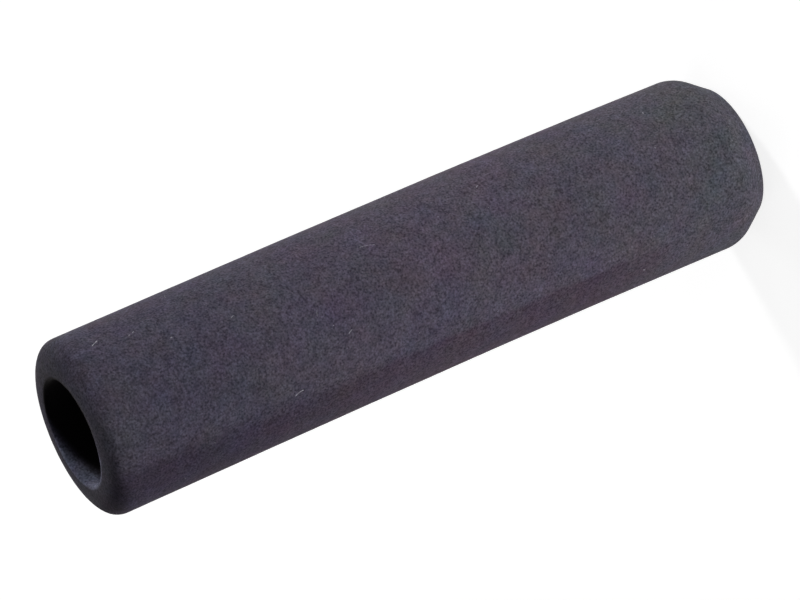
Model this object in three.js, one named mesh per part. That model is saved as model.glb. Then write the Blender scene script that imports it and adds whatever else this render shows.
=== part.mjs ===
// A straight foam handlebar grip, in millimetres, standing on its flat outer end.
//
// The grip is one piece: a thick tube of cellular rubber, cut from a blown tube and ground
// to shape. The bore runs right through. It is smaller than the handlebar, so that the foam
// stretches over the bar and holds by its own squeeze. The inner end, at the top here, is
// ground to a full domed lip that runs from the outside of the tube into the bore. The outer
// end, at the bottom, has a wide chamfer with a soft shoulder and a narrow flat end face.
//
// The origin is the centre of the flat end face. +Z runs up the bore to the domed lip.

import * as THREE from "three";

// The tube
const GRIP_LENGTH = 130;
const BORE_DIAMETER = 19;
const WALL_THICKNESS = 6.15;

// The domed lip at the inner end
const LIP_HEIGHT = 3.6;
const LIP_FULLNESS = 0.69; // how far the dome bulges, from 0.55 for an ellipse to 1 for a square
const MOUTH_EDGE_WIDTH = 0.3; // the small round where the dome's crest turns into the bore
const MOUTH_EDGE_DROP = 0.4;

// The chamfered outer end
const CHAMFER_HEIGHT = 5.2;
const SHOULDER_RADIUS = 7; // between the tube and the chamfer
const END_FACE_WIDTH = 2.5; // the flat ring that the grip stands on, from the bore outwards
const END_EDGE_RADIUS = 0.7; // between the chamfer and that ring
const BORE_EDGE_BREAK = 0.3; // between that ring and the bore

// The facets
const FACETS_AROUND = 72;
const FACET_LENGTH = 0.8; // along a curve of the section
const FEWEST_FACETS = 3; // on the smallest round

const ELLIPSE_FULLNESS = 0.5523;
const boreRadius = BORE_DIAMETER / 2;
const outerRadius = boreRadius + WALL_THICKNESS;
const { lerp } = THREE.MathUtils;

// Draws a straight run towards a corner of the section, and a round of the given radius
// that leaves the corner towards the next point.
function lineAndRound(path, corner, next, radius) {
  const back = path.currentPoint.clone().sub(corner).normalize();
  const on = next.clone().sub(corner).normalize();
  const halfAngle = Math.acos(back.dot(on)) / 2;
  const tangentLength = radius / Math.tan(halfAngle);
  const start = corner.clone().addScaledVector(back, tangentLength);
  const end = corner.clone().addScaledVector(on, tangentLength);
  const towardsCentre = back.clone().add(on).normalize();
  const centre = corner.clone().addScaledVector(towardsCentre, radius / Math.sin(halfAngle));
  const startAngle = start.clone().sub(centre).angle();
  const endAngle = end.clone().sub(centre).angle();
  const clockwise = back.cross(on) > 0;
  path.lineTo(start.x, start.y);
  path.absarc(centre.x, centre.y, radius, startAngle, endAngle, clockwise);
}

// Draws a quarter of a rounded form from the current point, where it runs straight up or
// down, to (x, y), where it runs straight in or out. Fullness says how far it bulges.
function quarterFromUpright(path, x, y, fullness) {
  const { x: fromX, y: fromY } = path.currentPoint;
  path.bezierCurveTo(fromX, lerp(fromY, y, fullness), lerp(x, fromX, fullness), y, x, y);
}

// The same quarter drawn the other way: level at the current point and upright at (x, y).
function quarterFromLevel(path, x, y, fullness) {
  const { x: fromX, y: fromY } = path.currentPoint;
  path.bezierCurveTo(lerp(fromX, x, fullness), fromY, x, lerp(y, fromY, fullness), x, y);
}

// The wall's section as a closed outline: x is the radius and y the height. It starts at the
// foot of the bore and goes round by the end face, the chamfer, the outside and the lip.
function wallSection() {
  const chamferFoot = new THREE.Vector2(boreRadius + END_FACE_WIDTH, 0);
  const shoulder = new THREE.Vector2(outerRadius, CHAMFER_HEIGHT);
  const lipStart = new THREE.Vector2(outerRadius, GRIP_LENGTH - LIP_HEIGHT);

  const section = new THREE.Path();
  section.moveTo(boreRadius, BORE_EDGE_BREAK);
  quarterFromUpright(section, boreRadius + BORE_EDGE_BREAK, 0, ELLIPSE_FULLNESS);
  lineAndRound(section, chamferFoot, shoulder, END_EDGE_RADIUS);
  lineAndRound(section, shoulder, lipStart, SHOULDER_RADIUS);
  section.lineTo(lipStart.x, lipStart.y);
  quarterFromUpright(section, boreRadius + MOUTH_EDGE_WIDTH, GRIP_LENGTH, LIP_FULLNESS);
  quarterFromLevel(section, boreRadius, GRIP_LENGTH - MOUTH_EDGE_DROP, ELLIPSE_FULLNESS);
  section.lineTo(boreRadius, BORE_EDGE_BREAK);
  return section;
}

// The outline's corners: the two ends of each straight run, and a facet's length apart on
// each curve.
function outlinePoints(section) {
  const steps = (curve) => Math.max(FEWEST_FACETS, Math.round(curve.getLength() / FACET_LENGTH));
  const runs = section.curves.map((curve) => curve.getPoints(curve.isLineCurve ? 1 : steps(curve)));
  return [runs[0][0], ...runs.flatMap((points) => points.slice(1))];
}

// The section turned once round the upright axis.
function foamSleeve() {
  const sleeve = new THREE.LatheGeometry(outlinePoints(wallSection()), FACETS_AROUND);
  sleeve.rotateX(Math.PI / 2);
  const foam = new THREE.MeshStandardMaterial({ color: 0x49444f, roughness: 0.95, metalness: 0 });
  const mesh = new THREE.Mesh(sleeve, foam);
  mesh.name = "foam_sleeve";
  return mesh;
}

const grip = new THREE.Group();
grip.name = "handlebar_grip";
grip.add(foamSleeve());

export default grip;
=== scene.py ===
"""Looks of a foam handlebar grip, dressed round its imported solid.

The grip stands on its chamfered outer end with the domed lip up, in metres. It is one sleeve
of ground cellular rubber. Its wall is drawn as an outline and turned round the bore by
Geometry Nodes, which also give it the slight bow and unevenness of soft foam. A few flecks
and fibres lie on it, as they do on the real one. The camera is rolled, so that the upright
grip fills the picture from the lower left to the upper right.
"""

import logging
import math
from collections.abc import Mapping
from dataclasses import dataclass
from enum import Enum

import bpy
from mathutils import Euler, Matrix, Vector


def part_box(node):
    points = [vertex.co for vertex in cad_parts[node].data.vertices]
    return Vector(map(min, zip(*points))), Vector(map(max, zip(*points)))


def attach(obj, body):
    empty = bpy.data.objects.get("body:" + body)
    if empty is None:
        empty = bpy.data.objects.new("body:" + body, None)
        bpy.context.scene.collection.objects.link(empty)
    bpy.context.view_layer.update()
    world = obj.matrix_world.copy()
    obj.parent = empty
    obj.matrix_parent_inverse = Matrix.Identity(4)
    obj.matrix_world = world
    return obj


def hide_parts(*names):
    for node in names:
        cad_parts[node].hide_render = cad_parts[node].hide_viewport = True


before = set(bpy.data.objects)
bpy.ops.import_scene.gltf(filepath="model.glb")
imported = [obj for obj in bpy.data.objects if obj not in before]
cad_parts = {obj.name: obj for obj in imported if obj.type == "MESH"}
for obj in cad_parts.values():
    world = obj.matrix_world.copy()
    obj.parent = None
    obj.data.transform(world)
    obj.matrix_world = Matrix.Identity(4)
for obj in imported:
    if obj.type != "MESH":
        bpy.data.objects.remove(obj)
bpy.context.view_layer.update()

log = logging.getLogger("handlebar_grip")

MM = 0.001
SLEEVE_NODE = "foam_sleeve"
BODY = "root"

Colour = tuple[float, float, float]
Socket = bpy.types.NodeSocket
# What a node's input can be set to or linked to
Value = float | int | bool | str | tuple | Vector | bpy.types.ID | Socket


class Sum(Enum):
    """What a math node does with its two numbers."""

    ADD = "ADD"
    SUBTRACT = "SUBTRACT"
    MULTIPLY = "MULTIPLY"
    DIVIDE = "DIVIDE"


class Arrow(Enum):
    """What a vector math node does with its two vectors."""

    ADD = "ADD"
    MULTIPLY = "MULTIPLY"
    DOT = "DOT_PRODUCT"


class Blend(Enum):
    """How two colours are mixed."""

    MIX = "MIX"
    MULTIPLY = "MULTIPLY"


class NodeGraph:
    """Adds nodes to a tree and links them, so that a tree reads as a list of steps."""

    MIX_COLOUR_A = 6  # the mix node's sockets for two colours and their mix
    MIX_COLOUR_B = 7
    MIX_COLOUR_RESULT = 2
    NOISE_MEAN = 0.5

    def __init__(self, tree: bpy.types.NodeTree) -> None:
        """Starts on the node tree of a material, a world or a modifier."""
        self.tree = tree

    def add(
        self, kind: str, inputs: Mapping[str | int, Value] | None = None, **settings: Value
    ) -> bpy.types.Node:
        """Adds one node.

        Args:
            kind: the node's type.
            inputs: what each input socket is set to or linked to, by the socket's name or number.
            settings: the node's own properties, such as its operation.

        Returns:
            The new node.
        """
        node = self.tree.nodes.new(kind)
        for name, setting in settings.items():
            setattr(node, name, setting)
        for key, value in (inputs or {}).items():
            if isinstance(value, Socket):
                self.tree.links.new(value, node.inputs[key])
            else:
                node.inputs[key].default_value = value
        return node

    def math(self, operation: Sum, first: Value, second: Value) -> Socket:
        """Adds a math node with two numbers and gives its result."""
        node = self.add("ShaderNodeMath", {0: first, 1: second}, operation=operation.value)
        return node.outputs[0]

    def arrow(self, operation: Arrow, first: Value, second: Value) -> Socket:
        """Adds a vector math node. Its result is a vector, or a number for a dot product."""
        node = self.add("ShaderNodeVectorMath", {0: first, 1: second}, operation=operation.value)
        return node.outputs["Value" if operation is Arrow.DOT else "Vector"]

    def scaled(self, vector: Value, factor: Value) -> Socket:
        """Makes a vector longer or shorter by a factor."""
        inputs = {0: vector, "Scale": factor}
        return self.add("ShaderNodeVectorMath", inputs, operation="SCALE").outputs["Vector"]

    def radius_of(self, place: Socket) -> Socket:
        """Measures how far a point lies from the bore's axis."""
        flat = self.arrow(Arrow.MULTIPLY, place, (1, 1, 0))
        return self.add("ShaderNodeVectorMath", {0: flat}, operation="LENGTH").outputs["Value"]

    def ramp(
        self, value: Value, low: Value, high: Value, at_low: Value = 0.0, at_high: Value = 1.0
    ) -> Socket:
        """Adds a smooth step.

        Args:
            value: what the step reads.
            low: the value up to which the result is at_low.
            high: the value from which the result is at_high.
            at_low: the result at the low end.
            at_high: the result at the high end.

        Returns:
            The result.
        """
        inputs = {
            "Value": value,
            "From Min": low,
            "From Max": high,
            "To Min": at_low,
            "To Max": at_high,
        }
        node = self.add("ShaderNodeMapRange", inputs, interpolation_type="SMOOTHSTEP")
        return node.outputs["Result"]

    def mix(self, factor: Value, first: Value, second: Value, blend: Blend = Blend.MIX) -> Socket:
        """Adds a mix of two colours.

        Args:
            factor: the share of the second one.
            first: the first colour.
            second: the second colour.
            blend: how they are mixed.

        Returns:
            The mixed colour.
        """
        inputs = {0: factor, self.MIX_COLOUR_A: first, self.MIX_COLOUR_B: second}
        node = self.add("ShaderNodeMix", inputs, data_type="RGBA", blend_type=blend.value)
        return node.outputs[self.MIX_COLOUR_RESULT]

    def tinted(self, colour: Value, tint: Value) -> Socket:
        """Multiplies each channel of a colour by a tint's or by one number."""
        return self.mix(1.0, colour, tint, Blend.MULTIPLY)

    def noise(
        self,
        place: Value,
        size: Value,
        detail: float = 1.0,
        roughness: float = 0.5,
        seed: Value = 0.0,
    ) -> bpy.types.Node:
        """Adds a cloudy noise.

        Args:
            place: the point that is read, in metres.
            size: the width of one cloud in metres, or the socket that gives its inverse.
            detail: how many finer layers it has.
            roughness: how strong each finer layer is beside the one before.
            seed: a number that picks another noise.

        Returns:
            The noise's node. Its number and its three colour channels are about 0.5 on average.
        """
        scale = size if isinstance(size, Socket) else 1 / size
        inputs = {
            "Vector": place,
            "W": seed,
            "Scale": scale,
            "Detail": detail,
            "Roughness": roughness,
        }
        return self.add("ShaderNodeTexNoise", inputs, noise_dimensions="4D")

    def seen_rays(self) -> Socket:
        """Finds the rays that show a background, to the eye, in a gloss or through glass.

        Returns:
            1 for such a ray and 0 for one that only lights a surface.
        """
        path = self.add("ShaderNodeLightPath").outputs
        indirect = self.math(Sum.ADD, path["Is Glossy Ray"], path["Is Transmission Ray"])
        return self.ramp(self.math(Sum.ADD, path["Is Camera Ray"], indirect), 0.0, 1.0)

    def specks(self, place: Value, spacing: float, reach: float) -> Socket:
        """Adds scattered round specks.

        Args:
            place: the point that is read, in metres.
            spacing: how far apart the specks lie, in metres.
            reach: how far a speck fades out from its middle, as a share of the spacing.

        Returns:
            1 in a speck's middle and 0 between the specks.
        """
        inputs = {"Vector": place, "Scale": 1 / spacing}
        distance = self.add("ShaderNodeTexVoronoi", inputs).outputs["Distance"]
        return self.ramp(distance, 0.0, reach, 1.0, 0.0)


class GeometryTree(NodeGraph):
    """A Geometry Nodes tree with named inputs, for one modifier."""

    def __init__(self, name: str, sockets: Mapping[str, str]) -> None:
        """Makes the tree and its inputs.

        Args:
            name: the tree's name.
            sockets: each input's name and its socket type.
        """
        super().__init__(bpy.data.node_groups.new(name, "GeometryNodeTree"))
        self.identifiers: dict[str, str] = {}
        for label, kind in sockets.items():
            socket = self.tree.interface.new_socket(label, in_out="INPUT", socket_type=kind)
            self.identifiers[label] = socket.identifier
        self.tree.interface.new_socket(
            "Geometry", in_out="OUTPUT", socket_type="NodeSocketGeometry"
        )
        self.given = self.add("NodeGroupInput").outputs

    def shape_of(self, thing: Value) -> Socket:
        """Reads the geometry of another object."""
        return self.add("GeometryNodeObjectInfo", {"Object": thing}).outputs["Geometry"]

    def moved(self, geometry: Socket, offset: Value) -> Socket:
        """Moves each point of a geometry by its own offset."""
        node = self.add("GeometryNodeSetPosition", {"Geometry": geometry, "Offset": offset})
        return node.outputs["Geometry"]

    def finish(self, geometry: Socket, material: Socket) -> None:
        """Ends the tree with real geometry in one material.

        Args:
            geometry: what the tree has made.
            material: the material that it gets.
        """
        smooth = self.add("GeometryNodeSetShadeSmooth", {"Geometry": geometry}).outputs[0]
        real = self.add("GeometryNodeRealizeInstances", {"Geometry": smooth}).outputs[0]
        dressed = self.add("GeometryNodeSetMaterial", {"Geometry": real, "Material": material})
        self.add("NodeGroupOutput", {"Geometry": dressed.outputs[0]})

    def build(self, name: str, values: Mapping[str, Value]) -> bpy.types.Object:
        """Runs the tree once and keeps the result as a plain mesh.

        Args:
            name: the new piece's name.
            values: what each named input is set to.

        Returns:
            The new piece, at the origin and without a modifier.
        """
        host = bpy.data.objects.new(name + "_maker", bpy.data.meshes.new(name + "_maker"))
        bpy.context.scene.collection.objects.link(host)
        modifier = host.modifiers.new(name, "NODES")
        modifier.node_group = self.tree
        for label, value in values.items():
            modifier[self.identifiers[label]] = value
        bpy.context.view_layer.update()
        depsgraph = bpy.context.evaluated_depsgraph_get()
        mesh = bpy.data.meshes.new_from_object(
            host.evaluated_get(depsgraph), preserve_all_data_layers=True, depsgraph=depsgraph
        )
        mesh.name = name
        bpy.data.objects.remove(host)
        piece = bpy.data.objects.new(name, mesh)
        bpy.context.scene.collection.objects.link(piece)
        return piece


def principled(graph: NodeGraph, **inputs: Value) -> None:
    """Adds a Principled shader and joins it to the material's output.

    Args:
        graph: the material's nodes.
        inputs: the shader's sockets, with an underscore for each space.
    """
    sockets = {label.replace("_", " "): value for label, value in inputs.items()}
    shader = graph.add("ShaderNodeBsdfPrincipled", sockets)
    graph.add("ShaderNodeOutputMaterial", {"Surface": shader.outputs[0]})


def new_material(name: str) -> tuple[bpy.types.Material, NodeGraph]:
    """Makes an empty material.

    Args:
        name: its name.

    Returns:
        The material and its nodes.
    """
    material = bpy.data.materials.new(name)
    material.use_nodes = True
    material.node_tree.nodes.clear()
    return material, NodeGraph(material.node_tree)


class Outline:
    """A chain of points drawn piece by piece, each piece in steps of about one pitch."""

    FEWEST_STEPS = 4
    ELLIPSE = 2  # the power of a quarter of a plain ellipse

    def __init__(self, start: Vector, pitch: float) -> None:
        """Starts a chain at its first point, with the greatest step between two points."""
        self.points = [start]
        self.pitch = pitch

    def steps(self, length: float) -> int:
        """Counts the steps on a piece of the given length."""
        return max(self.FEWEST_STEPS, math.ceil(length / self.pitch))

    def line_to(self, end: Vector) -> None:
        """Draws a straight run.

        Args:
            end: its last point.
        """
        start = self.points[-1]
        count = self.steps((end - start).length)
        self.points += [start.lerp(end, step / count) for step in range(1, count + 1)]

    def round_corner(self, corner: Vector, after: Vector, radius: float) -> None:
        """Draws a straight run towards a corner and a round that leaves it.

        Args:
            corner: the sharp corner that the round takes off.
            after: the point that the outline heads for from the corner.
            radius: the round's radius.
        """
        back = (self.points[-1] - corner).normalized()
        on = (after - corner).normalized()
        half_angle = back.angle(on) / 2
        centre = corner + (back + on).normalized() * (radius / math.sin(half_angle))
        reach = radius / math.tan(half_angle)
        spoke = corner + back * reach - centre
        last_spoke = corner + on * reach - centre
        sweep = math.atan2(spoke.cross(last_spoke), spoke.dot(last_spoke))
        self.line_to(centre + spoke)
        count = self.steps(radius * abs(sweep))
        for step in range(1, count + 1):
            self.points.append(centre + Matrix.Rotation(sweep * step / count, 2) @ spoke)

    def quarter_to(self, end: Vector, power: float, leaves_upright: bool) -> None:
        """Draws a quarter of a superellipse.

        Args:
            end: its last point.
            power: how full it is, 2 for an ellipse and more for a squarer form.
            leaves_upright: whether it starts along the bore, or else straight across it.
        """
        start = self.points[-1]
        count = self.steps((end - start).length)
        for step in range(1, count + 1):
            angle = math.pi / 2 * step / count
            rise = math.sin(angle) ** (2 / power)
            fall = 1 - max(0.0, math.cos(angle)) ** (2 / power)
            across, along = (fall, rise) if leaves_upright else (rise, fall)
            x = start.x + (end.x - start.x) * across
            y = start.y + (end.y - start.y) * along
            self.points.append(Vector((x, y)))


@dataclass(frozen=True)
class WallSection:
    """The sleeve's wall, cut along the bore. A point is a radius and a height, in metres."""

    length: float
    outer_radius: float
    bore_radius: float = 9.5 * MM
    lip_height: float = 3.6 * MM
    lip_power: float = 2.5
    mouth_edge_width: float = 0.3 * MM
    mouth_edge_drop: float = 0.4 * MM
    chamfer_height: float = 5.2 * MM
    shoulder_radius: float = 6.0 * MM
    end_face_width: float = 2.5 * MM
    end_edge_radius: float = 0.25 * MM
    bore_edge: float = 0.3 * MM
    pitch: float = 0.45 * MM
    bore_pitch: float = 2.5 * MM

    def points(self) -> list[Vector]:
        """Draws the closed outline.

        Returns:
            Its points, from the foot of the bore by the end face, the outside and the lip.
        """
        foot = Vector((self.bore_radius, self.bore_edge))
        face_start = Vector((self.bore_radius + self.bore_edge, 0))
        chamfer_foot = Vector((self.bore_radius + self.end_face_width, 0))
        shoulder = Vector((self.outer_radius, self.chamfer_height))
        lip_start = Vector((self.outer_radius, self.length - self.lip_height))
        crest = Vector((self.bore_radius + self.mouth_edge_width, self.length))
        mouth = Vector((self.bore_radius, self.length - self.mouth_edge_drop))

        outline = Outline(foot, self.pitch)
        outline.quarter_to(face_start, outline.ELLIPSE, leaves_upright=True)
        outline.round_corner(chamfer_foot, shoulder, self.end_edge_radius)
        outline.round_corner(shoulder, lip_start, self.shoulder_radius)
        outline.line_to(lip_start)
        outline.quarter_to(crest, self.lip_power, leaves_upright=True)
        outline.quarter_to(mouth, outline.ELLIPSE, leaves_upright=False)
        outline.pitch = self.bore_pitch
        outline.line_to(foot)
        return outline.points[:-1]


@dataclass(frozen=True)
class FoamFinish:
    """Charcoal closed-cell foam, ground with a stone.

    The two ends differ a little from the rest, partly in hue and partly by painted shade at the lip
    end and painted light at the outer end. A darker, redder strip along one side is painted shade.
    Down the bore a near-black lining is painted shade, partly a darker uncut surface. At its mouth
    a paler band is painted light, which reaches further down on one side than on the other.
    """

    tone: Colour = (0.0800, 0.0700, 0.0945)
    # The lip end is darker by painted shade and the outer end lighter by painted light, each also a
    # little different in hue
    lip_end_shaded_tone: Colour = (0.0705, 0.0637, 0.0905)
    outer_end_lit_tone: Colour = (0.0812, 0.0787, 0.0965)
    shade_strip_tint: Colour = (0.79, 0.685, 0.73)  # the painted shade strip's colour, as a share of the tube's
    shade_strip_lip_tint: Colour = (0.67, 0.60, 0.67)  # the same at the lip end
    # A paler band at the bore's mouth: painted light, where light falls into the bore
    lit_mouth_tint: Colour = (3.3, 3.55, 3.55)
    # Near-black down the bore: painted shade, partly a darker uncut surface
    skin_and_shade_tone: Colour = (0.005, 0.004, 0.005)
    # Where the tones of the two ends fade in, as shares of the length
    lip_end_reach: tuple[float, float] = (0.45, 0.92)
    outer_end_reach: tuple[float, float] = (0.0, 0.33)
    lit_mouth_reach: tuple[float, float] = (-1.5 * MM, 0.3 * MM)  # down the bore, on average round it
    skin_and_shade_reach: tuple[float, float] = (-0.6 * MM, 1.2 * MM)
    bore_margin: tuple[float, float] = (0.2 * MM, 0.8 * MM)  # where both fade out, past the bore
    bore_light_bearing: float = math.radians(165)  # where the painted light and shade both reach furthest down
    bore_light_lean: float = 3.2 * MM  # how much further that is
    # These place and shape the painted shade strip along one side of the tube
    shade_strip_bearing: float = math.radians(-169.5)
    shade_strip_half_width: float = math.radians(37.5)
    shade_strip_edge: float = 0.9 * MM  # how wide its edge fades
    shade_strip_lip_edge: float = 3.0 * MM  # the same at the lip end
    shade_strip_spread: tuple[float, float] = (-0.25, 0.75)  # where it starts and ends, in fade widths
    shade_strip_waver: float = 1.1 * MM  # how far its edge strays
    shade_strip_waver_size: float = 5 * MM
    shade_strip_slant: float = 0.010  # how much the strip narrows for each metre towards the outer end
    shade_strip_foot_reach: tuple[float, float] = (0.05, 0.30)  # where it sets in, as shares of the length
    tint_size: float = 7 * MM
    tint_swing: Colour = (0.54, 0.32, 0.53)
    mottle_size: float = 1.5 * MM
    mottle_swing: float = 0.23
    mottle_range: tuple[float, float] = (0.2, 0.8)  # the part of its noise that it uses
    pore_spacing: float = 0.46 * MM
    grain_spacing: float = 0.41 * MM
    speck_reach: float = 0.7  # how far a pore or a grain reaches, as a share of its spacing
    speck_height: float = 0.3  # how much of the relief each of them makes
    grit_size: float = 0.40 * MM
    grit_height: float = 0.4
    grit_range: tuple[float, float] = (0.3, 0.7)  # the part of its noise that it uses
    grain_contrast: float = 0.53
    relief_depth: float = 0.05 * MM
    roughness: float = 0.95
    diffuse_roughness: float = 1.0
    specular_level: float = 0.03
    sheen: float = 0.04
    sheen_roughness: float = 0.5
    sheen_tint: Colour = (1.0, 0.92, 0.90)

    def relief(self, graph: NodeGraph, place: Socket) -> Socket:
        """Lays out the cut cells.

        Args:
            graph: the material's nodes.
            place: the point on the grip, in metres.

        Returns:
            The height of the surface, from 0 in a pore to 1 on a grain, and 0.5 on average.
        """
        pores = graph.specks(place, self.pore_spacing, self.speck_reach)
        grains = graph.specks(place, self.grain_spacing, self.speck_reach)
        bumps = graph.math(Sum.MULTIPLY, graph.math(Sum.SUBTRACT, grains, pores), self.speck_height)
        grit = graph.noise(place, self.grit_size, detail=2.0).outputs[0]
        level = graph.math(Sum.MULTIPLY, graph.ramp(grit, *self.grit_range), self.grit_height)
        level = graph.math(Sum.ADD, level, (1 - self.grit_height) / 2)
        return graph.math(Sum.ADD, bumps, level)

    def tones(self, graph: NodeGraph, share: Socket) -> tuple[Socket, Socket]:
        """Blends the tones from the outer end to the lip end, with painted shade at the lip end and
        painted light at the outer end.

        Args:
            graph: the material's nodes.
            share: how far up the grip the point lies, from 0 to 1.

        Returns:
            The tube's tone, and the painted shade strip's tint as a share of it.
        """
        near_lip = graph.ramp(share, *self.lip_end_reach)
        near_foot = graph.ramp(share, *self.outer_end_reach, 1.0, 0.0)
        tone = graph.mix(near_lip, (*self.tone, 1), (*self.lip_end_shaded_tone, 1))
        tone = graph.mix(near_foot, tone, (*self.outer_end_lit_tone, 1))
        return tone, graph.mix(near_lip, (*self.shade_strip_tint, 1), (*self.shade_strip_lip_tint, 1))

    def painted_shade_strip(self, graph: NodeGraph, place: Socket, share: Socket, radius: float) -> Socket:
        """Finds the darker strip of painted shade along one side, which fades in from the outer
        end.

        Args:
            graph: the material's nodes.
            place: the point on the grip, in metres.
            share: how far up the grip the point lies, from 0 to 1.
            radius: the grip's outer radius.

        Returns:
            1 on the strip and 0 beside it.
        """
        towards = (math.cos(self.shade_strip_bearing), math.sin(self.shade_strip_bearing), self.shade_strip_slant)
        stray = graph.noise(place, self.shade_strip_waver_size, detail=2.0, seed=2.0).outputs[0]
        stray = graph.math(Sum.SUBTRACT, stray, graph.NOISE_MEAN)
        stray = graph.math(Sum.MULTIPLY, stray, self.shade_strip_waver)
        reach = graph.math(Sum.ADD, graph.arrow(Arrow.DOT, place, towards), stray)
        past_edge = graph.math(Sum.SUBTRACT, reach, radius * math.cos(self.shade_strip_half_width))
        fade = graph.ramp(share, *self.lip_end_reach, self.shade_strip_edge, self.shade_strip_lip_edge)
        strip = graph.ramp(graph.math(Sum.DIVIDE, past_edge, fade), *self.shade_strip_spread)
        return graph.math(Sum.MULTIPLY, strip, graph.ramp(share, *self.shade_strip_foot_reach))

    def bore_light_and_shade_masks(
        self, graph: NodeGraph, place: Socket, height: Socket, section: WallSection
    ) -> tuple[Socket, Socket]:
        """Finds the painted light at the bore's mouth and the painted shade further in.

        Args:
            graph: the material's nodes.
            place: the point on the grip, in metres.
            height: the point's height.
            section: the wall's section.

        Returns:
            The mask of the painted light and the mask of the painted shade, each 1 there and 0
            elsewhere.
        """
        bore = section.bore_radius
        margin = (bore + width for width in self.bore_margin)
        inside = graph.ramp(graph.radius_of(place), *margin, 1.0, 0.0)
        slope = self.bore_light_lean / bore
        lean = (slope * math.cos(self.bore_light_bearing), slope * math.sin(self.bore_light_bearing), 0)
        depth = graph.math(Sum.SUBTRACT, section.length, height)
        depth = graph.math(Sum.SUBTRACT, depth, graph.arrow(Arrow.DOT, place, lean))
        edge = graph.math(Sum.MULTIPLY, inside, graph.ramp(depth, *self.lit_mouth_reach, 1.0, 0.0))
        skin_and_shade = graph.math(Sum.MULTIPLY, inside, graph.ramp(depth, *self.skin_and_shade_reach))
        return edge, skin_and_shade

    def material(self, section: WallSection) -> bpy.types.Material:
        """Makes the foam's material.

        Args:
            section: the wall's section, for its sizes.

        Returns:
            The material.
        """
        material, graph = new_material("ground_foam")
        place = graph.add("ShaderNodeTexCoord").outputs["Object"]
        height = graph.add("ShaderNodeSeparateXYZ", {"Vector": place}).outputs["Z"]
        share = graph.math(Sum.DIVIDE, height, section.length)
        edge, skin_and_shade = self.bore_light_and_shade_masks(graph, place, height, section)
        shade_strip = self.painted_shade_strip(graph, place, share, section.outer_radius)
        relief = self.relief(graph, place)

        clouds = graph.noise(place, self.tint_size, detail=4.0, roughness=0.7, seed=4.0)
        lowest_cast = tuple(1 - swing / 2 for swing in self.tint_swing)
        cast = graph.arrow(Arrow.MULTIPLY, clouds.outputs["Color"], self.tint_swing)
        cast = graph.arrow(Arrow.ADD, cast, lowest_cast)
        spots = graph.noise(place, self.mottle_size, detail=2.0, roughness=0.8, seed=7.0).outputs[0]
        mottle = graph.ramp(spots, *self.mottle_range, 1 - self.mottle_swing, 1 + self.mottle_swing)
        shade = graph.ramp(relief, 0.0, 1.0, 1 - self.grain_contrast, 1 + self.grain_contrast)

        tone, shade_strip_tint = self.tones(graph, share)
        # painted shade: the strip along one side is darker and redder
        tone = graph.mix(shade_strip, tone, graph.tinted(tone, shade_strip_tint))
        # painted light: a paler band at the bore's mouth
        tone = graph.mix(edge, tone, graph.tinted(tone, (*self.lit_mouth_tint, 1)))
        for factor in (cast, mottle, shade):
            tone = graph.tinted(tone, factor)
        bump = graph.add("ShaderNodeBump", {"Distance": self.relief_depth, "Height": relief})
        principled(
            graph,
            # painted shade down the bore, partly a darker uncut surface
            Base_Color=graph.mix(skin_and_shade, tone, (*self.skin_and_shade_tone, 1)),
            Roughness=self.roughness,
            Diffuse_Roughness=self.diffuse_roughness,
            Specular_IOR_Level=self.specular_level,
            Sheen_Weight=self.sheen,
            Sheen_Roughness=self.sheen_roughness,
            Sheen_Tint=(*self.sheen_tint, 1),
            Normal=bump.outputs[0],
        )
        return material


@dataclass(frozen=True)
class LintFinish:
    """Pale dust and textile fibres."""

    tone: Colour = (0.36, 0.36, 0.40)
    dusty_tone: Colour = (0.20, 0.19, 0.22)
    patch_size: float = 0.5 * MM
    patch_range: tuple[float, float] = (0.35, 0.65)  # the part of its noise that it uses
    roughness: float = 0.9

    def material(self) -> bpy.types.Material:
        """Makes the lint's material.

        Returns:
            The material.
        """
        material, graph = new_material("pale_lint")
        place = graph.add("ShaderNodeTexCoord").outputs["Object"]
        patches = graph.ramp(graph.noise(place, self.patch_size).outputs[0], *self.patch_range)
        tone = graph.mix(patches, (*self.dusty_tone, 1), (*self.tone, 1))
        principled(graph, Base_Color=tone, Roughness=self.roughness)
        return material


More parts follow.
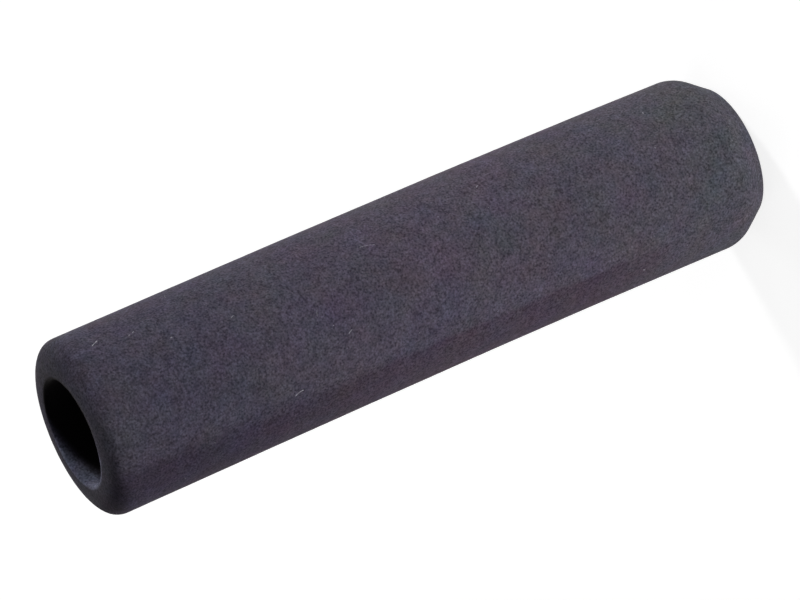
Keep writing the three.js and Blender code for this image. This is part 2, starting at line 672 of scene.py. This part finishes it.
@dataclass
class FoamSleeve:
    """The grip itself: a turned wall that bows a little and isn't quite even."""

    section: WallSection
    finish: FoamFinish
    facets_round: int = 240
    bow: float = 0.44 * MM  # how far the middle stands out towards +X
    bow_skew: float = 0.17 * MM  # how much more of that lies near the outer end
    broad_unevenness: float = 0.10 * MM
    broad_size: float = 16 * MM
    fine_unevenness: float = 0.035 * MM
    fine_size: float = 1.3 * MM
    even_foot: tuple[float, float] = (0.05 * MM, 1.5 * MM)  # the heights between which they set in
    seed: float = 3.0

    HUMP_SCALE = 4.0  # the way up times the way down is a quarter at the middle

    def section_curve(self) -> bpy.types.Object:
        """Makes the outline a closed curve, drawn about the middle of the wall.

        Returns:
            The curve's object.
        """
        points = self.section.points()
        curve = bpy.data.curves.new("wall_section", "CURVE")
        curve.dimensions = "3D"
        spline = curve.splines.new("POLY")
        spline.points.add(len(points) - 1)
        for knot, point in zip(spline.points, points):
            knot.co = (point.x - self.wall_middle, -point.y, 0, 1)
        spline.use_cyclic_u = True
        section = bpy.data.objects.new("wall_section", curve)
        bpy.context.scene.collection.objects.link(section)
        return section

    @property
    def wall_middle(self) -> float:
        """The radius halfway through the wall."""
        return (self.section.bore_radius + self.section.outer_radius) / 2

    def tree(self) -> GeometryTree:
        """Builds the nodes that turn the section and make the foam uneven.

        Returns:
            The tree.
        """
        numbers = (
            "Turning Radius", "Length", "Bow", "Bow Skew", "Broad Unevenness", "Broad Scale",
            "Fine Unevenness", "Fine Scale", "Seed",
        )
        graph = GeometryTree(
            "Turned foam sleeve",
            {
                "Section": "NodeSocketObject",
                "Facets Round": "NodeSocketInt",
                **{label: "NodeSocketFloat" for label in numbers},
                "Foam": "NodeSocketMaterial",
            },
        )
        given = graph.given
        circle = graph.add(
            "GeometryNodeCurvePrimitiveCircle",
            {"Resolution": given["Facets Round"], "Radius": given["Turning Radius"]},
        )
        turned = graph.add(
            "GeometryNodeCurveToMesh",
            {"Curve": circle.outputs["Curve"], "Profile Curve": graph.shape_of(given["Section"])},
        )
        outward = graph.add("GeometryNodeFlipFaces", {"Mesh": turned.outputs["Mesh"]})

        place = graph.add("GeometryNodeInputPosition").outputs[0]
        height = graph.add("ShaderNodeSeparateXYZ", {"Vector": place}).outputs["Z"]
        wall = self.roughened(graph, outward.outputs["Mesh"], place, height)
        graph.finish(self.bowed(graph, wall, height), given["Foam"])
        return graph

    def roughened(self, graph: GeometryTree, wall: Socket, place: Socket, height: Socket) -> Socket:
        """Moves the surface in and out a little, but leaves the end face flat.

        Args:
            graph: the tree.
            wall: the turned wall.
            place: the point on the wall.
            height: the point's height.

        Returns:
            The uneven wall.
        """
        given = graph.given
        amount = 0.0
        for label in ("Broad", "Fine"):
            noise = graph.noise(place, given[label + " Scale"], seed=given["Seed"]).outputs[0]
            swing = graph.math(Sum.SUBTRACT, noise, graph.NOISE_MEAN)
            swing = graph.math(Sum.MULTIPLY, swing, given[label + " Unevenness"])
            amount = graph.math(Sum.ADD, amount, swing)
        amount = graph.math(Sum.MULTIPLY, amount, graph.ramp(height, *self.even_foot))
        normal = graph.add("GeometryNodeInputNormal").outputs["Normal"]
        return graph.moved(wall, graph.scaled(normal, amount))

    def bowed(self, graph: GeometryTree, wall: Socket, height: Socket) -> Socket:
        """Bends the sleeve towards +X, most at its middle and not at its ends.

        Args:
            graph: the tree.
            wall: the wall.
            height: the point's height.

        Returns:
            The bowed wall.
        """
        given = graph.given
        up = graph.math(Sum.DIVIDE, height, given["Length"])
        down = graph.math(Sum.SUBTRACT, 1.0, up)
        hump = graph.math(Sum.MULTIPLY, self.HUMP_SCALE, graph.math(Sum.MULTIPLY, up, down))
        skew = graph.math(Sum.MULTIPLY, given["Bow Skew"], graph.math(Sum.SUBTRACT, down, up))
        reach = graph.math(Sum.MULTIPLY, hump, graph.math(Sum.ADD, given["Bow"], skew))
        return graph.moved(wall, graph.add("ShaderNodeCombineXYZ", {"X": reach}).outputs[0])

    def build(self) -> bpy.types.Object:
        """Makes and dresses the sleeve.

        Returns:
            The finished piece.
        """
        section = self.section_curve()
        sleeve = self.tree().build(
            "foam_grip",
            {
                "Section": section,
                "Facets Round": self.facets_round,
                "Turning Radius": self.wall_middle,
                "Length": self.section.length,
                "Bow": self.bow,
                "Bow Skew": self.bow_skew,
                "Broad Unevenness": self.broad_unevenness,
                "Broad Scale": 1 / self.broad_size,
                "Fine Unevenness": self.fine_unevenness,
                "Fine Scale": 1 / self.fine_size,
                "Seed": self.seed,
                "Foam": self.finish.material(self.section),
            },
        )
        bpy.data.objects.remove(section)
        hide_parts(SLEEVE_NODE)
        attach(sleeve, BODY)
        return sleeve


@dataclass(frozen=True)
class Fibre:
    """A short fibre or crumb on the foam. Sizes are in millimetres and angles in degrees."""

    height: float  # of its middle
    bearing: float  # of its middle round the grip, from +X towards +Y
    length: float
    thickness: float = 0.10
    lean: float = 0.0  # how far it turns from upright towards a greater bearing
    curl: float = 40.0  # how far it turns from end to end
    waist: float = 1.0  # its middle's thickness as a share of its ends'

    STEPS = 12

    def knots(self, radius: float) -> list[tuple[Vector, float]]:
        """Lays it on a plain tube.

        Args:
            radius: the tube's radius in metres.

        Returns:
            Its points and the fibre's own radius at each, in metres.
        """
        middle = self.STEPS // 2
        walk = [Vector((0, 0))]
        for step in range(self.STEPS):
            heading = math.radians(self.lean + self.curl * ((step + 0.5) / self.STEPS - 0.5))
            stride = self.length * MM / self.STEPS
            walk.append(walk[-1] + Vector((math.sin(heading), math.cos(heading))) * stride)
        knots = []
        for step, point in enumerate(walk):
            across, up = point - walk[middle]
            bearing = math.radians(self.bearing) + across / radius
            x, y = math.cos(bearing) * radius, math.sin(bearing) * radius
            place = Vector((x, y, self.height * MM + up))
            share = abs(2 * step / self.STEPS - 1)
            knots.append((place, self.thickness / 2 * MM * (self.waist + (1 - self.waist) * share)))
        return knots


FIBRES = (
    Fibre(123.7, -40.0, 1.5, 0.20, lean=151, curl=30, waist=0.5),
    Fibre(118.0, -45.6, 0.35, 0.14, lean=150),
    Fibre(117.1, -44.4, 0.30, 0.13, lean=150),
    Fibre(112.3, -59.6, 0.35, 0.15),
    Fibre(101.3, -62.8, 0.7, 0.08, lean=160),
    Fibre(107.8, -22.0, 1.0, 0.06, lean=113),
    Fibre(95.3, -123.8, 1.7, 0.17, lean=163, curl=35, waist=0.7),
    Fibre(87.9, -81.7, 1.2, 0.05, lean=113),
    Fibre(83.7, -100.0, 0.9, 0.10, lean=150),
    Fibre(73.9, -54.1, 2.6, 0.05, lean=195, curl=15),
    Fibre(50.7, -45.2, 0.5, 0.10, lean=150),
    Fibre(16.5, -42.1, 0.45, 0.16, lean=100, curl=120),
    Fibre(18.9, -69.8, 0.35, 0.14, lean=60),
    Fibre(26.9, -147.6, 0.4, 0.18, lean=30),
)


@dataclass
class SurfaceLint:
    """The fibres and fine flecks that cling to the foam."""

    finish: LintFinish
    fibres: tuple[Fibre, ...] = FIBRES
    fleck_density: float = 5000.0  # for each square metre
    fleck_length: float = 0.11 * MM  # half of a large fleck's length
    smallest_share: float = 0.35  # the smallest fleck beside a large one
    fleck_shape: tuple[float, float, float] = (1.0, 0.6, 0.3)  # its length, width and height
    lift: float = 0.03 * MM
    facets: int = 5
    seed: int = 11

    def fibre_curves(self, radius: float) -> bpy.types.Object:
        """Draws the fibres as curves.

        Args:
            radius: the radius of the tube that they lie on.

        Returns:
            The curves' object.
        """
        curves = bpy.data.curves.new("fibre_paths", "CURVE")
        curves.dimensions = "3D"
        for fibre in self.fibres:
            knots = fibre.knots(radius)
            spline = curves.splines.new("POLY")
            spline.points.add(len(knots) - 1)
            for point, (place, thickness) in zip(spline.points, knots):
                point.co = (*place, 1)
                point.radius = thickness
        paths = bpy.data.objects.new("fibre_paths", curves)
        bpy.context.scene.collection.objects.link(paths)
        return paths

    def tree(self) -> GeometryTree:
        """Builds the nodes that lay the fibres on the foam and scatter the flecks.

        Returns:
            The tree.
        """
        graph = GeometryTree(
            "Lint on foam",
            {
                "Foam": "NodeSocketObject",
                "Fibre Paths": "NodeSocketObject",
                "Facets": "NodeSocketInt",
                "Lift": "NodeSocketFloat",
                "Inner Radius": "NodeSocketFloat",
                "Outer Radius": "NodeSocketFloat",
                "Fleck Density": "NodeSocketFloat",
                "Fleck Length": "NodeSocketFloat",
                "Smallest Share": "NodeSocketFloat",
                "Seed": "NodeSocketInt",
                "Lint": "NodeSocketMaterial",
            },
        )
        foam = graph.shape_of(graph.given["Foam"])
        lint = graph.add("GeometryNodeJoinGeometry").inputs[0]
        graph.tree.links.new(self.laid_fibres(graph, foam), lint)
        graph.tree.links.new(self.flecks(graph, foam), lint)
        graph.finish(lint.node.outputs[0], graph.given["Lint"])
        return graph

    def laid_fibres(self, graph: GeometryTree, foam: Socket) -> Socket:
        """Lays the paths on the foam and makes each a thin round fibre.

        Args:
            graph: the tree.
            foam: the foam's mesh.

        Returns:
            The fibres' mesh.
        """
        given = graph.given
        place = graph.add("GeometryNodeInputPosition").outputs[0]
        normal = graph.add("GeometryNodeInputNormal").outputs["Normal"]
        nearest = graph.add(
            "GeometryNodeProximity",
            {"Geometry": foam, "Sample Position": place},
            target_element="FACES",
        )
        outwards = graph.add(
            "GeometryNodeSampleNearestSurface",
            {"Mesh": foam, "Value": normal, "Sample Position": place},
            data_type="FLOAT_VECTOR",
        )
        laid = graph.add(
            "GeometryNodeSetPosition",
            {
                "Geometry": graph.shape_of(given["Fibre Paths"]),
                "Position": nearest.outputs["Position"],
                "Offset": graph.scaled(outwards.outputs["Value"], given["Lift"]),
            },
        )
        circle = graph.add(
            "GeometryNodeCurvePrimitiveCircle", {"Resolution": given["Facets"], "Radius": 1.0}
        )
        fibres = graph.add(
            "GeometryNodeCurveToMesh",
            {
                "Curve": laid.outputs["Geometry"],
                "Profile Curve": circle.outputs["Curve"],
                "Scale": graph.add("GeometryNodeInputRadius").outputs[0],
                "Fill Caps": True,
            },
        )
        return fibres.outputs["Mesh"]

    def flecks(self, graph: GeometryTree, foam: Socket) -> Socket:
        """Scatters flat flecks over the outside of the foam.

        Args:
            graph: the tree.
            foam: the foam's mesh.

        Returns:
            The flecks' instances.
        """
        given = graph.given
        place = graph.add("GeometryNodeInputPosition").outputs[0]
        outside = graph.ramp(graph.radius_of(place), given["Inner Radius"], given["Outer Radius"])
        points = graph.add(
            "GeometryNodeDistributePointsOnFaces",
            {
                "Mesh": foam,
                "Density": graph.math(Sum.MULTIPLY, given["Fleck Density"], outside),
                "Seed": given["Seed"],
            },
        )
        share = graph.add(
            "FunctionNodeRandomValue",
            {"Min": given["Smallest Share"], "Max": 1.0, "Seed": given["Seed"]},
        )
        length = graph.math(Sum.MULTIPLY, given["Fleck Length"], share.outputs["Value"])
        ball = graph.add("GeometryNodeMeshIcoSphere", {"Radius": 1.0, "Subdivisions": 1})
        spread = graph.add(
            "GeometryNodeInstanceOnPoints",
            {
                "Points": points.outputs["Points"],
                "Instance": ball.outputs["Mesh"],
                "Rotation": points.outputs["Rotation"],
                "Scale": graph.scaled(self.fleck_shape, length),
            },
        )
        return spread.outputs["Instances"]

    def build(self, foam: bpy.types.Object, section: WallSection) -> bpy.types.Object:
        """Makes the lint.

        Args:
            foam: the sleeve that it lies on.
            section: the sleeve's section, for its sizes.

        Returns:
            The finished piece.
        """
        paths = self.fibre_curves(section.outer_radius)
        lint = self.tree().build(
            "surface_lint",
            {
                "Foam": foam,
                "Fibre Paths": paths,
                "Facets": self.facets,
                "Lift": self.lift,
                "Inner Radius": section.bore_radius,
                "Outer Radius": section.outer_radius,
                "Fleck Density": self.fleck_density,
                "Fleck Length": self.fleck_length,
                "Smallest Share": self.smallest_share,
                "Seed": self.seed,
                "Lint": self.finish.material(),
            },
        )
        bpy.data.objects.remove(paths)
        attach(lint, BODY)
        return lint


@dataclass(frozen=True)
class PhotographCamera:
    """A long lens that looks down on the grip, rolled so that the lip is at the lower left."""

    elevation: float = math.radians(22)
    climb: float = math.radians(23.31)  # how steeply the grip rises across the picture
    distance: float = 825.3 * MM
    focal_length: float = 218.8  # in millimetres, as the sensor's width is
    sensor_width: float = 36.0
    aim_left: float = 1.33 * MM  # how far left of the grip's middle the camera aims
    aim_below: float = 1.87 * MM

    def build(self, middle: Vector) -> None:
        """Places the camera and makes it the scene's own.

        Args:
            middle: the middle of the grip.
        """
        level = Euler((math.pi / 2 - self.elevation, 0, 0)).to_matrix()
        turn = level @ Matrix.Rotation(-math.pi / 2 - self.climb, 3, "Z")
        place = middle + turn @ Vector((-self.aim_left, -self.aim_below, self.distance))
        data = bpy.data.cameras.new("camera")
        data.sensor_width = self.sensor_width
        data.lens = self.focal_length
        camera = bpy.data.objects.new("camera", data)
        camera.matrix_world = Matrix.Translation(place) @ turn.to_4x4()
        bpy.context.scene.collection.objects.link(camera)
        bpy.context.scene.camera = camera


@dataclass(frozen=True)
class Softbox:
    """A soft lamp that faces the middle of the grip."""

    name: str
    side: float  # degrees round the grip from the camera's side, towards +X
    rise: float  # degrees above the level
    level: float  # how bright it alone makes a white surface that faces it
    size: float = 0.7
    distance: float = 1.4

    def build(self, middle: Vector) -> None:
        """Places the lamp, which the camera doesn't see.

        Args:
            middle: the middle of the grip.
        """
        data = bpy.data.lights.new(self.name, "AREA")
        data.shape = "DISK"
        data.size = self.size
        data.energy = self.level * math.pi**2 * self.distance**2
        lamp = bpy.data.objects.new(self.name, data)
        side, rise = math.radians(self.side), math.radians(self.rise)
        level = Vector((math.sin(side), -math.cos(side), 0))
        direction = level * math.cos(rise) + Vector((0, 0, math.sin(rise)))
        lamp.location = middle + direction * self.distance
        lamp.rotation_mode = "QUATERNION"
        lamp.rotation_quaternion = direction.to_track_quat("Z", "Y")
        lamp.visible_camera = False
        bpy.context.scene.collection.objects.link(lamp)


LAMPS = (
    Softbox("top", side=103, rise=22, level=0.43, size=0.25),
    Softbox("upper_front", side=50, rise=3, level=0.13, size=0.2),
    Softbox("front", side=14, rise=0, level=0.30, size=0.16, distance=0.38),
    Softbox("outer_end", side=0, rise=-12.8, level=0.23, size=0.05, distance=0.226),
    Softbox("lower_outer_end", side=-25, rise=-12.8, level=0.17, size=0.05, distance=0.226),
    Softbox("under_outer_end", side=-50, rise=-12.8, level=0.25, size=0.05, distance=0.226),
    Softbox("back_left", side=-150, rise=8, level=0.34),
    Softbox("back_right", side=150, rise=8, level=0.30),
)


@dataclass(frozen=True)
class Studio:
    """A pale floor, a white surround and soft lamps."""

    softboxes: tuple[Softbox, ...] = LAMPS
    ambient: float = 0.13
    floor_width: float = 12.0
    floor_tone: Colour = (0.5, 0.5, 0.5)
    floor_glow: float = 0.78  # added where the floor is seen, so that it reads as white

    def build(self, middle: Vector, ground: float) -> None:
        """Sets the stage.

        Args:
            middle: the middle of the grip.
            ground: the height of the floor.
        """
        for softbox in self.softboxes:
            softbox.build(middle)
        self.build_world()
        self.build_floor(ground)

    def build_world(self) -> None:
        """Makes an even surround that looks white."""
        world = bpy.data.worlds.new("surround")
        world.use_nodes = True
        world.node_tree.nodes.clear()
        graph = NodeGraph(world.node_tree)
        strength = graph.ramp(graph.seen_rays(), 0.0, 1.0, self.ambient, 1.0)
        inputs = {"Color": (1, 1, 1, 1), "Strength": strength}
        background = graph.add("ShaderNodeBackground", inputs)
        graph.add("ShaderNodeOutputWorld", {"Surface": background.outputs[0]})
        bpy.context.scene.world = world

    def build_floor(self, ground: float) -> None:
        """Lays the floor.

        Args:
            ground: its height.
        """
        half = self.floor_width / 2
        signs = ((-1, -1), (1, -1), (1, 1), (-1, 1))
        corners = [(x * half, y * half, ground) for x, y in signs]
        mesh = bpy.data.meshes.new("floor")
        mesh.from_pydata(corners, [], [(0, 1, 2, 3)])
        material, graph = new_material("floor_paper")
        strength = graph.ramp(graph.seen_rays(), 0.0, 1.0, 0.0, self.floor_glow)
        glow = graph.add("ShaderNodeEmission", {"Strength": strength})
        paper = graph.add("ShaderNodeBsdfDiffuse", {"Color": (*self.floor_tone, 1)})
        both = graph.add("ShaderNodeAddShader", {0: glow.outputs[0], 1: paper.outputs[0]})
        graph.add("ShaderNodeOutputMaterial", {"Surface": both.outputs[0]})
        mesh.materials.append(material)
        floor = bpy.data.objects.new("floor", mesh)
        bpy.context.scene.collection.objects.link(floor)


def main() -> None:
    """Builds the grip, the lint on it, the stage and the camera."""
    logging.basicConfig(level=logging.INFO, format="%(message)s")
    bpy.context.scene.view_settings.view_transform = "Standard"
    low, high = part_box(SLEEVE_NODE)
    middle = (low + high) / 2
    section = WallSection(length=high.z - low.z, outer_radius=(high.x - low.x) / 2)
    sleeve = FoamSleeve(section, FoamFinish()).build()
    lint = SurfaceLint(LintFinish()).build(sleeve, section)
    for piece in (sleeve, lint):
        log.info("%s: %d faces", piece.name, len(piece.data.polygons))
    Studio().build(middle, low.z)
    PhotographCamera().build(middle)


if __name__ == "__main__":
    main()
